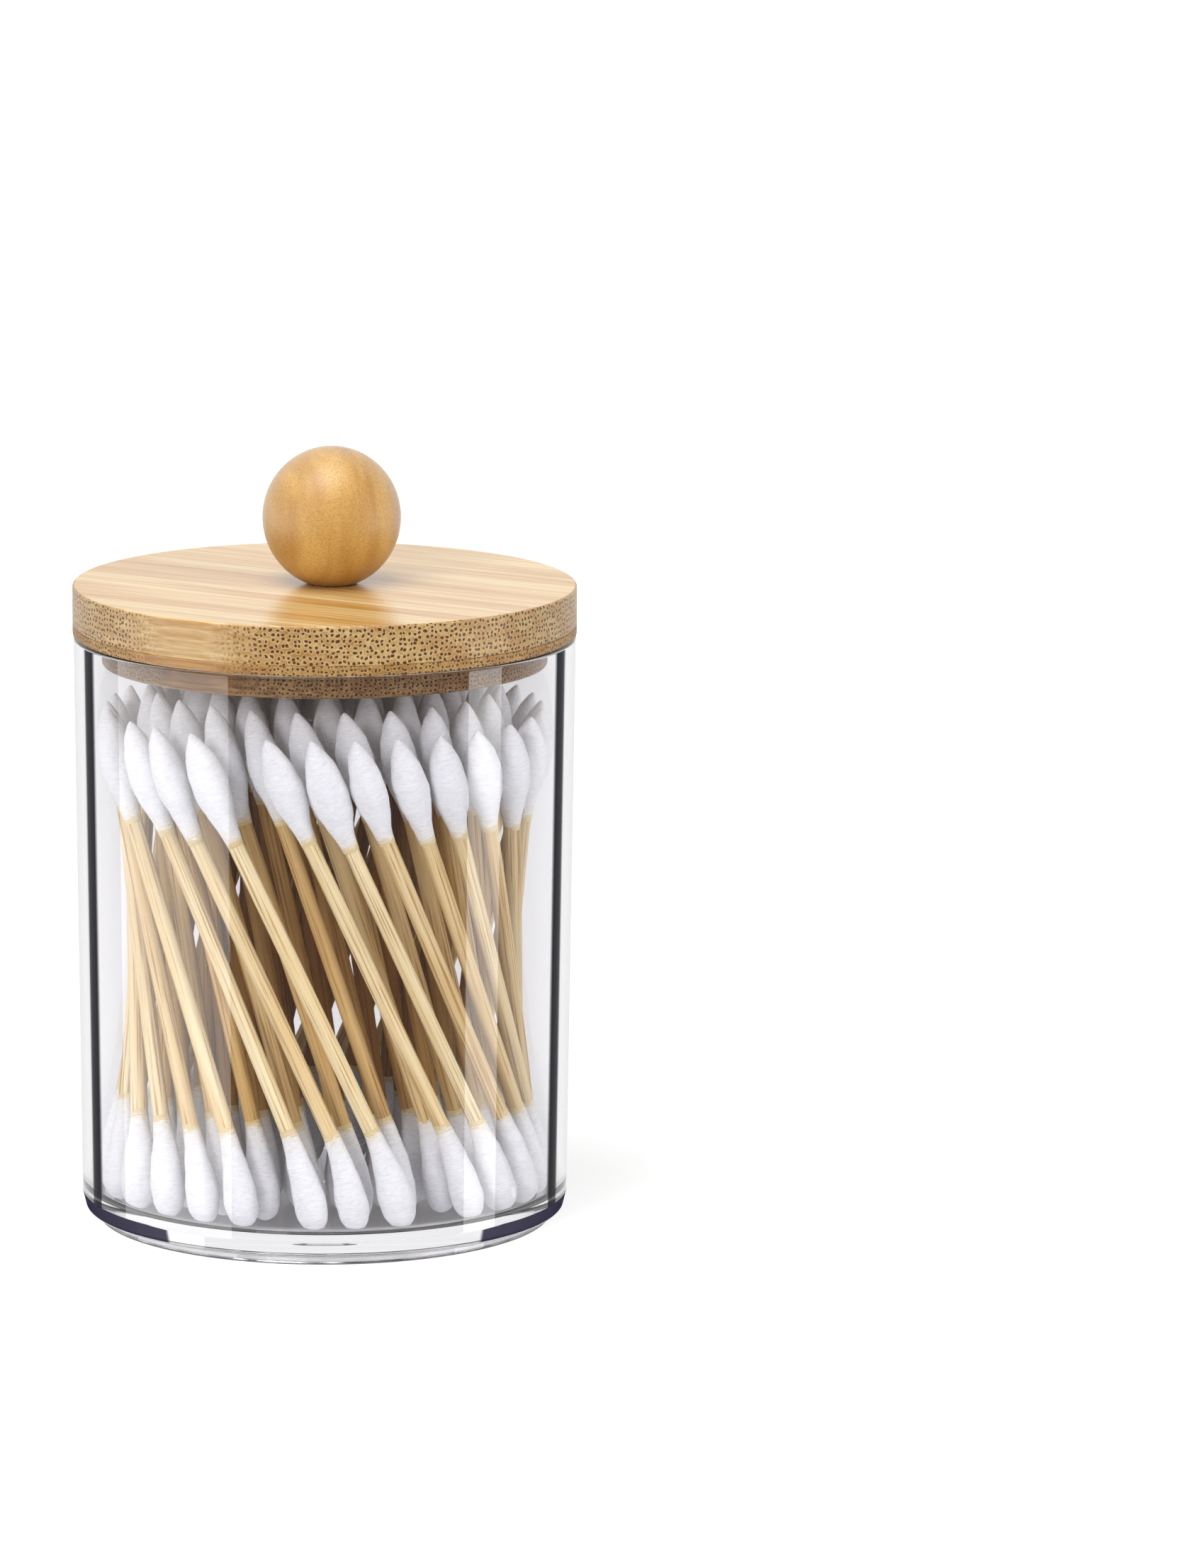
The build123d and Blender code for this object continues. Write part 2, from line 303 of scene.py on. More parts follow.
def stick_material():
    """Split bamboo rod, drawn round and left plain: cream with darker lengthwise fibres and a dull skin."""
    material, add = new_material("Drawn bamboo stick")
    own = add("Attribute", attribute_name="own_mm").outputs["Vector"]
    tone = add("Attribute", attribute_name="tone").outputs["Fac"]
    # Fibres a third of a mm wide and 20 mm long, and slow stains
    lengthwise = add("VectorMath", {0: own, 1: (3.0, 3.0, 0.05)}, **TIMES)
    fibres = add("TexNoise", {"Vector": lengthwise, "Scale": 1.0, "Detail": 3.0, "Roughness": 0.6})
    spread = add("VectorMath", {0: own, 1: (0.5, 0.5, 0.04)}, **TIMES)
    stains = add("TexNoise", {"Vector": spread, "Scale": 1.0, "Detail": 1.0})
    # Painted shade: a low tone, given to sticks deep in the bundle, turns the body a deep ochre
    body = add("ValToRGB", {0: tone}, [(0, linear("#A5742F")), (0.4, linear("#D0AB6A")), (1, linear("#ECDBB2"))])
    lines = add("ValToRGB", {0: fibres}, [(0.36, (0.58, 0.44, 0.26, 1)), (0.46, grey(0.94)), (0.62, grey(1.04))])
    stained = add("ValToRGB", {0: stains}, [(0.35, (0.9, 0.82, 0.68, 1)), (0.6, grey(1))])
    lined = add("Mix", {0: 1.0, A: body, B: lines}, **TINT)
    shader = add("BsdfPrincipled", {
        "Base Color": add("Mix", {0: 1.0, A: lined, B: stained}, **TINT),
        "Roughness": 0.6,
        "IOR": 1.45,
        "Normal": add("Bump", {"Height": fibres, "Distance": 0.06 * MM, "Strength": 0.5}),
    })
    add("OutputMaterial", {"Surface": shader})
    return material


POLYSTYRENE_IOR = 1.59


def clear_material(name, tint, edge_from=None, facing=None, painted_dark="#1E1C24"):
    """Clear polystyrene, injection moulded and polished: water clear, with a hard gloss.

    Where a wall or the base is seen edge on it works as a light guide and shows the dark of the room; the shader
    paints that dark as a painted reflection, by the angle at which its surface is met, from the side that facing
    names. At the foot the same painted dark stands for a contact shadow. Light for the swabs passes straight through."""
    material, add = new_material(name)
    surface = add("BsdfPrincipled", {
        "Base Color": tint, "Roughness": 0.0, "IOR": POLYSTYRENE_IOR, "Transmission Weight": 1.0})
    if edge_from:
        met = add("LayerWeight", {"Blend": 0.5}).outputs["Facing"]
        mask = add("ValToRGB", {0: met}, edge_from)
        if facing:
            side = inside = add("NewGeometry").outputs["Backfacing"]
            if facing == "outside":
                side = add("Math", {0: 1.0, 1: inside}, **LESS)
            mask = add("Math", {0: mask, 1: side}, **TIMES)
        # The painted dark: a matt colour for the dark room that an edge-on wall mirrors, and at the foot for its
        # contact shadow
        dark = add("BsdfDiffuse", {"Color": linear(painted_dark)})
        surface = add("MixShader", {0: mask, 1: surface, 2: dark})
    ray = add("LightPath").outputs
    lighting = add("Math", {0: ray["Is Shadow Ray"], 1: ray["Is Diffuse Ray"]}, **LARGER)
    through = add("BsdfTransparent", {"Color": linear("#FCFCFD")})
    add("OutputMaterial", {"Surface": add("MixShader", {0: lighting, 1: surface, 2: through})})
    return material


def glue_material():
    """Dried wood glue squeezed out of the knob's joint: brown, glossy beads."""
    material, add = new_material("Dried glue bead")
    drops = add("TexNoise", {"Vector": in_millimetres(add), "Scale": 1.4})
    brown = add("ValToRGB", {0: drops}, [(0.35, linear("#2A1A0E")), (0.7, linear("#6B4A28"))])
    add("OutputMaterial", {"Surface": add("BsdfPrincipled", {"Base Color": brown, "Roughness": 0.25})})
    return material


def link(mesh, name, materials, body, slot, *nodes):
    """A finished piece: it rides on its body, takes the given finishes and stands for its CAD nodes. Its slot is not
    used.
    """
    piece = bpy.data.objects.new(name, mesh)
    bpy.context.scene.collection.objects.link(piece)
    for material in materials:
        mesh.materials.append(material)
    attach(piece, body)
    if nodes:
        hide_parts(*nodes)
    return piece


def rounded(points, hold=0.04):
    """Outline through (radius, height, corner radius) points, each corner turned by an arc.

    A point is held close before and after each arc, so that the shading of the straight parts stays true."""
    outline = []
    last = len(points) - 1
    for i, (x, y, corner) in enumerate(points):
        here = Vector((x, y))
        if corner == 0 or i in (0, last):
            outline.append((x, y))
            continue
        back = (Vector(points[i - 1][:2]) - here).normalized()
        on = (Vector(points[i + 1][:2]) - here).normalized()
        half = back.angle(on) / 2
        reach = corner / math.tan(half)
        middle = here + (back + on).normalized() * corner / math.sin(half)
        first, final = here + back * reach - middle, here + on * reach - middle
        turn = first.angle_signed(final)
        outline.append(tuple(here + back * (reach + hold)))
        for step in range(7):
            outline.append(tuple(middle + Matrix.Rotation(-turn * step / 6, 2) @ first))
        outline.append(tuple(here + on * (reach + hold)))
    return outline


def lathe(outline, segments, name, centre=0.0, slots=None):
    """Closed solid of revolution round Z from a (radius, height) outline in mm that starts and ends on the axis."""
    rings = []
    bm = bmesh.new()
    for radius, height in outline:
        if radius < 1e-6:
            rings.append([bm.verts.new((centre * MM, 0, height * MM))])
            continue
        turns = [2 * math.pi * k / segments for k in range(segments)]
        rings.append([bm.verts.new(((radius * math.cos(t) + centre) * MM, radius * math.sin(t) * MM, height * MM))
                      for t in turns])
    for index, (low, high) in enumerate(zip(rings, rings[1:])):
        for k in range(segments):
            following = (k + 1) % segments
            if len(low) == 1:
                corners = [low[0], high[following], high[k]]
            elif len(high) == 1:
                corners = [low[k], low[following], high[0]]
            else:
                corners = [low[k], low[following], high[following], high[k]]
            face = bm.faces.new(corners)
            face.smooth = True
            face.material_index = slots[index] if slots else 0
    bmesh.ops.recalc_face_normals(bm, faces=bm.faces)
    mesh = bpy.data.meshes.new(name)
    bm.to_mesh(mesh)
    bm.free()
    return mesh


def sharpen(mesh, degrees):
    """Hard edges where faces meet at more than an angle."""
    mesh.set_sharp_from_angle(angle=math.radians(degrees))


class SWABJAR_OT_stage(bpy.types.Operator):
    """Camera, floor, backdrop light and lamps"""

    bl_idname = "swabjar.stage"
    bl_label = "Stage"

    def execute(self, context):
        sizes = context.scene.swabjar_stage
        scene = context.scene
        scene.view_settings.view_transform = "Standard"
        camera = bpy.data.objects.new("camera", bpy.data.cameras.new("camera"))
        scene.collection.objects.link(camera)
        camera.data.lens = sizes.lens
        camera.data.sensor_width = 36.0
        camera.data.clip_start, camera.data.clip_end = 0.05, 20.0
        ahead = Vector((math.sin(sizes.yaw) * math.cos(sizes.pitch), math.cos(sizes.yaw) * math.cos(sizes.pitch),
                        -math.sin(sizes.pitch)))
        right = Vector((math.cos(sizes.yaw), -math.sin(sizes.yaw), 0))
        up = right.cross(ahead)
        right, up = (right * math.cos(sizes.roll) + up * math.sin(sizes.roll),
                     up * math.cos(sizes.roll) - right * math.sin(sizes.roll))
        camera.matrix_world = Matrix.Translation((0, -sizes.distance * MM, sizes.height * MM)) @ Matrix(
            (right, up, -ahead)).transposed().to_4x4()
        scene.camera = camera
        self.add_world(scene, sizes.ambient)
        self.add_floor(scene)
        # The jar's wall mirrors a wide card on the left and a narrow one on the right. The camera looks down, so the
        # wall mirrors what lies low: both reach below the table's level, and no higher than the lid mirrors
        self.add_card("card_left", azimuth=(44, 108), reach=0.9, heights=(-0.55, 0.20), strength=2.5)
        self.add_card("card_right", azimuth=(-87, -68), reach=0.9, heights=(-0.55, 0.20), strength=3.4)
        self.add_lamp("key", place=(-0.50, -0.90, 0.45), size=0.35, watts=4.6)
        self.add_lamp("lamp_left", place=(-0.95, -0.20, 0.55), size=0.8, watts=1.2)
        self.add_lamp("lamp_right", place=(1.0, -0.5, 0.5), size=0.8, watts=5.8)
        self.add_lamp("overhead", place=(-0.20, -0.30, 1.1), size=0.9, watts=9.0, mirrored=True)
        return {"FINISHED"}

    def add_world(self, scene, ambient):
        """Plain white to the camera and through the jar, softer as a light, and mirrored darker from the front."""
        world = bpy.data.worlds.new("White room")
        scene.world = world
        world.use_nodes = True
        world.node_tree.nodes.clear()
        add = partial(add_node, world.node_tree)
        ray = add("LightPath").outputs
        # A ray that a mirror has turned isn't straight any more, also when it then passes through the jar
        straight = add("Math", {0: 1.0, 1: ray["Glossy Depth"]}, use_clamp=True, **LESS)
        seen_through = add("Math", {0: ray["Is Transmission Ray"], 1: straight}, **TIMES)
        seen = add("Math", {0: ray["Is Camera Ray"], 1: seen_through}, **LARGER)
        toward = add("TexCoord").outputs["Generated"]
        turned = add("Math", {0: 1.0, 1: straight}, **LESS)
        mirrored = add("Math", {0: turned, 1: room_light(add, toward)}, **TIMES)
        soft = add("MapRange", {
            "Value": add("SeparateXYZ", {0: toward}).outputs["Y"],
            "From Min": -0.7, "From Max": 0.7, "To Min": ambient, "To Max": ambient * 0.4})
        shown = add("Math", {0: seen, 1: mirrored}, **LARGER)
        strength = add("Mix", {0: ray["Is Diffuse Ray"], A: shown, B: soft}, **MIX)
        light = add("Background", {"Color": grey(1), "Strength": strength})
        add("OutputWorld", {"Surface": light})

    def add_floor(self, scene):
        """Pale floor that keeps the object's shadow faintly, with a painted shadow round the jar."""
        mesh = bpy.data.meshes.new("floor")
        half = 3.0
        mesh.from_pydata([(-half, -half, 0), (half, -half, 0), (half, half, 0), (-half, half, 0)], [], [(0, 1, 2, 3)])
        floor = bpy.data.objects.new("floor", mesh)
        floor.location.z = -0.2 * MM
        scene.collection.objects.link(floor)
        floor.visible_glossy = False
        material, add = new_material("White studio floor, matt")
        matt = add("BsdfPrincipled", {"Base Color": grey(0.8), "Roughness": 0.9, "Specular IOR Level": 0.0})
        ray = add("LightPath").outputs
        straight = add("Math", {0: 1.0, 1: ray["Glossy Depth"]}, use_clamp=True, **LESS)
        through = add("Math", {0: ray["Is Transmission Ray"], 1: straight}, **TIMES)
        seen = add("Math", {0: ray["Is Camera Ray"], 1: through}, **LARGER)
        # The shade of the swabs on the table shows through the jar's base more than beside it. To the camera the
        # floor's glow is lowered near the jar as a painted shadow, which fades outwards.
        place = add("TexCoord").outputs["Object"]
        away = add("VectorMath", {0: place}, operation="LENGTH")
        white = add("MapRange", {"Value": away, "From Min": 0.05, "From Max": 0.22, "To Min": 0.66, "To Max": 0.98})
        glow_and_painted_shadow = add("Mix", {0: through, A: white, B: grey(0.17)}, **MIX)
        tone = add("Mix", {0: through, A: grey(0.4), B: grey(0.74)}, **MIX)
        lit = add("AddShader", {
            0: add("Emission", {"Color": grey(1), "Strength": glow_and_painted_shadow}), 1: add("BsdfDiffuse", {"Color": tone})})
        shown = add("MixShader", {0: seen, 1: matt, 2: lit})
        # The inner side of the jar's wall mirrors the table as it does the room
        heading = add("VectorMath", {0: place}, operation="NORMALIZE")
        dim = add("Emission", {"Color": grey(1), "Strength": room_light(add, heading)})
        add("OutputMaterial", {"Surface": add("MixShader", {0: straight, 1: dim, 2: shown})})
        mesh.materials.append(material)

    def add_card(self, name, azimuth, reach, heights, strength):
        """White card that only reflections show. Its azimuths are degrees to the left of the camera's side."""
        ends = [math.radians(-90 - angle) for angle in azimuth]
        low, high = heights
        mesh = bpy.data.meshes.new(name)
        mesh.from_pydata([(reach * math.cos(end), reach * math.sin(end), height) for end, height in (
            (ends[0], low), (ends[1], low), (ends[1], high), (ends[0], high))], [], [(0, 1, 2, 3)])
        card = bpy.data.objects.new(name, mesh)
        bpy.context.scene.collection.objects.link(card)
        card.visible_camera = card.visible_diffuse = card.visible_transmission = card.visible_shadow = False
        material, add = new_material("Lit white card")
        add("OutputMaterial", {"Surface": add("Emission", {"Color": grey(1), "Strength": strength})})
        mesh.materials.append(material)

    def add_lamp(self, name, place, size, watts, mirrored=False):
        """Round soft lamp that points at the jar."""
        lamp = bpy.data.lights.new(name, "AREA")
        lamp.shape = "DISK"
        lamp.size = size
        lamp.energy = watts
        lamp_object = bpy.data.objects.new(name, lamp)
        bpy.context.scene.collection.objects.link(lamp_object)
        lamp_object.location = place
        lamp_object.rotation_mode = "QUATERNION"
        lamp_object.rotation_quaternion = (Vector((0, 0, 0.05)) - Vector(place)).to_track_quat("-Z", "Y")
        lamp_object.visible_camera = False
        lamp_object.visible_glossy = mirrored


class SWABJAR_OT_jar(bpy.types.Operator):
    """The clear jar, turned finely so that it refracts cleanly"""

    bl_idname = "swabjar.jar"
    bl_label = "Jar"

    def execute(self, context):
        s = context.scene.swabjar_jar
        height = JAR_HIGH[2]
        mouth = JAR_HIGH[0]
        draft = (mouth - s.base_radius) / (height - s.base_corner)
        floor_radius = s.base_radius - s.wall + draft * (s.floor_top - s.base_corner)
        inner_foot = s.foot_radius - s.foot_width
        gate = s.floor_under + s.gate_depth
        outline = rounded([
            (0, gate, 0), (s.gate_radius, gate, 0.15), (s.gate_radius, s.floor_under, 0.1),
            (inner_foot, s.floor_under, 0.3), (inner_foot, 0, 0.3), (s.foot_radius, 0, 0.3),
            (s.foot_radius, s.heel_height, 0.25), (s.heel_radius, s.heel_height, 0.3),
            (s.base_radius, s.base_corner, 0.6), (mouth, height, 0.5), (mouth - s.wall, height, 0.5),
            (floor_radius, s.floor_top, 1.2), (0, s.floor_top, 0),
        ])
        plain, inner_wall, heel, outer_wall, foot_rim = range(5)
        slots = []
        for (r1, z1), (r2, z2) in zip(outline, outline[1:]):
            middle_r, middle_z = (r1 + r2) / 2, (z1 + z2) / 2
            if s.floor_top + 0.1 < middle_z < height - 0.6:
                slots.append(inner_wall if middle_r < mouth - s.wall + 0.1 else outer_wall)
            elif middle_r > s.foot_radius + 0.5 and 2.3 < middle_z < 3.9:
                slots.append(heel)
            elif middle_r > s.foot_radius - 0.4 and middle_z < 0.3:
                slots.append(foot_rim)
            else:
                slots.append(plain)
        mesh = lathe(outline, s.segments, "jar", slots=slots)
        sharpen(mesh, 50)
        # Near the jar's edge the inner wall is met at 38 to 39 degrees through the outer one, and turns to a mirror.
        # Painted reflection: each mask paints, by angle, the dark room that the inner wall, the outer wall and the
        # heel mirror.
        inner_wall_dark = [(0.2130, grey(0)), (0.2150, grey(1)), (0.2295, grey(0.9)), (0.2320, grey(0)), (1, grey(0))]
        outer_wall_dark = [(0.622, grey(0)), (0.635, grey(0.9)), (0.706, grey(0.8)), (0.722, grey(0)), (1, grey(0))]
        heel_dark = [(0.335, grey(0)), (0.345, grey(0.95)), (1, grey(0.98))]
        # Painted shadow: the foot's lowest rounding is darkened all round, for the contact shadow under it
        foot_contact_shadow = [(0, grey(0.55)), (1, grey(0.75))]
        materials = [
            clear_material("Clear polystyrene, polished", s.tint),
            clear_material("Clear polystyrene, inner wall", s.tint, inner_wall_dark, "inside"),
            clear_material("Clear polystyrene, heel", s.tint, heel_dark, painted_dark="#24213A"),
            clear_material("Clear polystyrene, outer wall", s.tint, outer_wall_dark, "outside"),
            clear_material("Clear polystyrene, foot's painted shadow", s.tint, foot_contact_shadow, "outside", "#2A2830"),
        ]
        link(mesh, "jar_clear", materials, "jar", "clear_plastic", "jar_body")
        return {"FINISHED"}


class SWABJAR_OT_lid(bpy.types.Operator):
    """The lid's board, ply and plug"""

    bl_idname = "swabjar.lid"
    bl_label = "Lid"

    def execute(self, context):
        s = context.scene.swabjar_lid
        board = bamboo_material("Bamboo board, sanded and oiled", s.board_colour, "#6E4519", "#F1D8A6",
                                s.grain_angle, s.bundle_gap, BOARD_HIGH[0], 0.34)
        ply = bamboo_material("Bamboo ply, sanded", s.ply_colour, "#6E4519", "#E0BF80",
                              s.grain_angle, s.bundle_gap * 0.85, PLY_HIGH[0], 0.5)
        # Painted shade: the plug's colours are darker than the board's, for the shade under the lid
        plug = bamboo_material("Bamboo plug, sanded", s.plug_colour, "#3E220C", "#CDA66C",
                               s.grain_angle, s.bundle_gap * 0.85, PLUG_HIGH[0], 0.6)
        parts = [
            ("lid_board", BOARD_LOW, BOARD_HIGH, s.groove_round, s.board_round, board, "bamboo_board"),
            ("lid_ply", PLY_LOW, PLY_HIGH, s.ply_round, s.groove_round, ply, "bamboo_ply"),
            ("plug_disc", PLUG_LOW, PLUG_HIGH, s.plug_round, 0.05, plug, "bamboo_plug"),
        ]
        for node, low, high, low_round, high_round, material, slot in parts:
            radius = high[0]
            mesh = lathe(rounded([
                (0, low[2], 0), (radius, low[2], low_round), (radius, high[2], high_round), (0, high[2], 0),
            ]), 256, node)
            sharpen(mesh, 40)
            link(mesh, node + "_turned", [material], "lid", slot, node)
        return {"FINISHED"}


class SWABJAR_OT_knob(bpy.types.Operator):
    """The ball knob, its dowel and the glue at its foot"""

    bl_idname = "swabjar.knob"
    bl_label = "Knob"

    def execute(self, context):
        s = context.scene.swabjar_knob
        centre = (KNOB_LOW[0] + KNOB_HIGH[0]) / 2
        half_width = (KNOB_HIGH[0] - KNOB_LOW[0]) / 2
        middle = KNOB_HIGH[2] - KNOB_HALF_HEIGHT
        foot = math.asin((KNOB_LOW[2] - middle) / KNOB_HALF_HEIGHT)
        steps = 72
        outline = [(0, KNOB_LOW[2])]
        for step in range(steps + 1):
            angle = foot + (math.pi / 2 - foot) * step / steps
            radius = half_width * math.cos(angle) if step < steps else 0
            outline.append((radius, middle + KNOB_HALF_HEIGHT * math.sin(angle)))
        mesh = lathe(outline, 128, "ball", centre)
        sharpen(mesh, 40)
        link(mesh, "knob_ball", [knob_material(s.wood, s.wood_light)], "lid", "knob_wood", "knob")
        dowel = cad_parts["knob_dowel"]
        dowel.data.materials.clear()
        dowel.data.materials.append(stick_material())
        self.add_glue(centre, half_width * math.cos(foot))
        return {"FINISHED"}

    def add_glue(self, centre, radius):
        """A thin uneven bead round the joint, with a few drops at the right."""
        chance = random.Random(3)
        bm = bmesh.new()
        lid_top = BOARD_HIGH[2]
        count = 60
        beads = [(2 * math.pi * k / count, chance.uniform(0.16, 0.28)) for k in range(count)]
        drops = ((-48, 0.36), (-38, 0.42), (-26, 0.5), (-15, 0.4), (-130, 0.32))  # degrees, mm
        beads += [(math.radians(angle), size) for angle, size in drops]
        for angle, size in beads:
            at = radius + size * 0.7
            spot = Matrix.Translation(((centre + at * math.cos(angle)) * MM, at * math.sin(angle) * MM,
                                       (lid_top + size * 0.45) * MM))
            shape = spot @ Matrix.Rotation(angle, 4, "Z") @ Matrix.Diagonal((0.8, 1.6, 0.8, 1))
            bmesh.ops.create_icosphere(bm, subdivisions=2, radius=size * MM, matrix=shape)
        for face in bm.faces:
            face.smooth = True
        mesh = bpy.data.meshes.new("glue")
        bm.to_mesh(mesh)
        bm.free()
        link(mesh, "knob_glue", [glue_material()], "lid", "clear_glue")


# Cotton outlines, (mm from the end, radius in mm), of the pointed upper head and the round foot head
POINTED = ((0.0, 0.0), (0.15, 0.28), (0.8, 0.72), (2.2, 1.45), (4.2, 2.1), (6.4, 2.5), (8.6, 2.6), (10.8, 2.35),
           (13.0, 1.8), (14.8, 1.4), (16.4, 1.21), (17.2, 1.16))
ROUND = ((0.0, 0.0), (0.1, 0.55), (0.45, 1.2), (1.1, 1.78), (2.1, 2.2), (3.4, 2.4), (5.0, 2.38), (7.0, 2.15),
         (9.5, 1.8), (11.8, 1.42), (13.8, 1.22), (14.8, 1.16))


def smooth_radius(profile, s):
    """Radius at a distance from the end, by smooth steps between the outline's points."""
    for (s0, r0), (s1, r1) in zip(profile, profile[1:]):
        if s <= s1:
            return r0 + (r1 - r0) * (s - s0) / (s1 - s0)
    return profile[-1][1]


def swab_axes(node):
    """(foot, tip) in mm of each separate swab in a CAD node, lowest end first."""
    bm = bmesh.new()
    bm.from_mesh(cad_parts[node].data)
    bmesh.ops.remove_doubles(bm, verts=bm.verts, dist=1e-6)
    left = set(bm.verts)
    axes = []
    while left:
        group, open_ends = set(), [left.pop()]
        while open_ends:
            vert = open_ends.pop()
            group.add(vert)
            for edge in vert.link_edges:
                other = edge.other_vert(vert)
                if other in left:
                    left.discard(other)
                    open_ends.append(other)
        points = np.array([v.co[:] for v in group]) / MM
        middle = points.mean(axis=0)
        along = np.linalg.svd(points - middle)[2][0]
        along = along * np.sign(along[2])
        reach = (points - middle) @ along
        axis = [points[abs(reach - limit) < 0.3].mean(axis=0) for limit in (reach.min(), reach.max())]
        axes.append((Vector(axis[0]), Vector(axis[1])))
    bm.free()
    return sorted(axes, key=lambda a: math.atan2(a[0].y, a[0].x))


class Swab:
    """The centre line of one swab and the chances that make it differ from the others."""

    def __init__(self, foot, tip, seed, bend):
        self.chance = random.Random(seed)
        self.foot = foot
        self.length = (tip - foot).length
        self.along = (tip - foot).normalized()
        level = Vector((self.along.x, self.along.y, 0))
        self.lean = (level - self.along * level.dot(self.along)).normalized()
        self.side = self.along.cross(self.lean)
        self.low_bend = bend * self.chance.uniform(0.7, 1.15)
        self.high_bend = bend * self.chance.uniform(0.1, 0.55)
        self.phase = self.chance.uniform(0, 100)

    def offset(self, s):
        """How far the line stands off the straight one, so that the heads hang steeper than the stick."""
        low, high = 14.0, self.length - 15.0
        if s < low:
            return -self.low_bend * math.sin(math.pi / 2 * s / low)
        if s > high:
            return self.high_bend * math.cos(math.pi / 2 * (s - high) / (self.length - high))
        share = (s - low) / (high - low)
        return -self.low_bend + (self.low_bend + self.high_bend) * share

    def at(self, s):
        return self.foot + self.along * s + self.lean * self.offset(s)


def store(mesh, name, kind, values):
    attribute = mesh.attributes.new(name, kind, "POINT")
    attribute.data.foreach_set("vector" if kind == "FLOAT_VECTOR" else "value", np.array(values, "f").ravel())


def tube(swab, stations, sides, radius_at, verts, faces, own, extra, cover):
    """Adds a closed skin round the swab's line. radius_at(station, angle) is in mm."""
    start = len(verts)
    for s in stations:
        centre = swab.at(s)
        ahead = (swab.at(s + 0.1) - swab.at(s - 0.1)).normalized()
        x = (swab.lean - ahead * swab.lean.dot(ahead)).normalized()
        y = ahead.cross(x)
        for k in range(sides):
            angle = 2 * math.pi * k / sides
            radius = radius_at(s, angle)
            spot = centre + (x * math.cos(angle) + y * math.sin(angle)) * radius
            verts.append(spot * MM)
            own.append((radius * math.cos(angle) + swab.phase, radius * math.sin(angle), s + swab.phase * 3))
            extra.append(cover(s))
    for i in range(len(stations) - 1):
        for k in range(sides):
            a, b = start + i * sides + k, start + i * sides + (k + 1) % sides
            faces.append((a, b, b + sides, a + sides))
    faces.append(tuple(start + k for k in reversed(range(sides))))
    faces.append(tuple(start + (len(stations) - 1) * sides + k for k in range(sides)))


def lumps(swab, s, angle, size):
    """Slow uneven swelling of the wound cotton."""
    p = swab.phase
    return size * (math.sin(2 * angle + 0.45 * s + p) * 0.5 + math.sin(3 * angle - 0.8 * s + 2 * p) * 0.3
                   + math.sin(angle + 1.7 * s + 3 * p) * 0.35 + math.sin(5 * angle + 2.9 * s + p) * 0.16)


def make_cotton(swabs, name, sizes, detail, material, nodes):
    """Both heads of each swab as one piece."""
    verts, faces, own, cover = [], [], [], []
    sides = max(10, int(sizes.sides * detail))
    rings = max(12, int(34 * detail))
    for swab in swabs:
        swell = swab.chance.uniform(0.94, 1.05)
        for profile, from_tip in ((POINTED, True), (ROUND, False)):
            reach = profile[-1][0] * swab.chance.uniform(0.96, 1.04)
            flat = swab.chance.uniform(0.0, 0.06)
            turn = swab.chance.uniform(0, math.pi)
            stretch = reach / profile[-1][0]
            depths = [reach * (0.5 - 0.5 * math.cos(math.pi * (i + 0.35) / (rings - 0.65))) for i in range(rings)]

            def depth_of(s):
                return swab.length - s if from_tip else s

            def radius_at(s, angle):
                depth = depth_of(s)
                radius = smooth_radius(profile, depth / stretch)
                thick = max(0.0, min(1.0, (radius - sizes.stick_radius) / 0.8))
                swollen = radius * (1 + (swell - 1) * thick) * (1 + flat * thick * math.cos(2 * (angle - turn)))
                fade = min(1.0, depth / 1.2)
                return max(0.1, swollen + lumps(swab, s, angle, sizes.fuzz) * thick * fade + 0.02)

            def cover_at(s):
                return min(1.0, max(0.0, (reach - depth_of(s)) / 4.5))

            stations = [swab.length - d for d in reversed(depths)] if from_tip else depths
            tube(swab, stations, sides, radius_at, verts, faces, own, cover, cover_at)
    mesh = bpy.data.meshes.new(name)
    mesh.from_pydata(verts, [], faces)
    mesh.validate()
    mesh.shade_smooth()
    store(mesh, "own_mm", "FLOAT_VECTOR", own)
    store(mesh, "cover", "FLOAT", cover)
    return link(mesh, name, [material], "jar", "swab_cotton", *nodes)


def make_sticks(swabs, name, sizes, detail, material, nodes):
    """The bamboo sticks, a little out of round, ending inside the cotton. Those inside are browner, as painted shade
    for the depth of the bundle, and each stick's tone also differs at random.
    """
    verts, faces, own, tone = [], [], [], []
    sides = max(8, int(18 * detail))
    for swab in swabs:
        reach = Vector((swab.foot.x, swab.foot.y)).length
        # Painted shade: the nearer a stick stands to the axis, the lower its tone, with a random spread
        shade = min(1.0, max(0.0, (reach - 14) / 19)) * swab.chance.uniform(0.75, 1.1)
        size = sizes.stick_radius * swab.chance.uniform(0.95, 1.05)
        p = swab.phase

        def radius_at(s, angle):
            return size * (1 + 0.03 * math.cos(2 * angle + p) + 0.012 * math.sin(3 * angle + 0.11 * s + p))

        steps = max(8, int(24 * detail))
        stations = [4 + (swab.length - 8) * i / steps for i in range(steps + 1)]
        tube(swab, stations, sides, radius_at, verts, faces, own, tone, lambda s: shade)
    mesh = bpy.data.meshes.new(name)
    mesh.from_pydata(verts, [], faces)
    mesh.shade_smooth()
    store(mesh, "own_mm", "FLOAT_VECTOR", own)
    store(mesh, "tone", "FLOAT", tone)
    return link(mesh, name, [material], "jar", "swab_stick", *nodes)


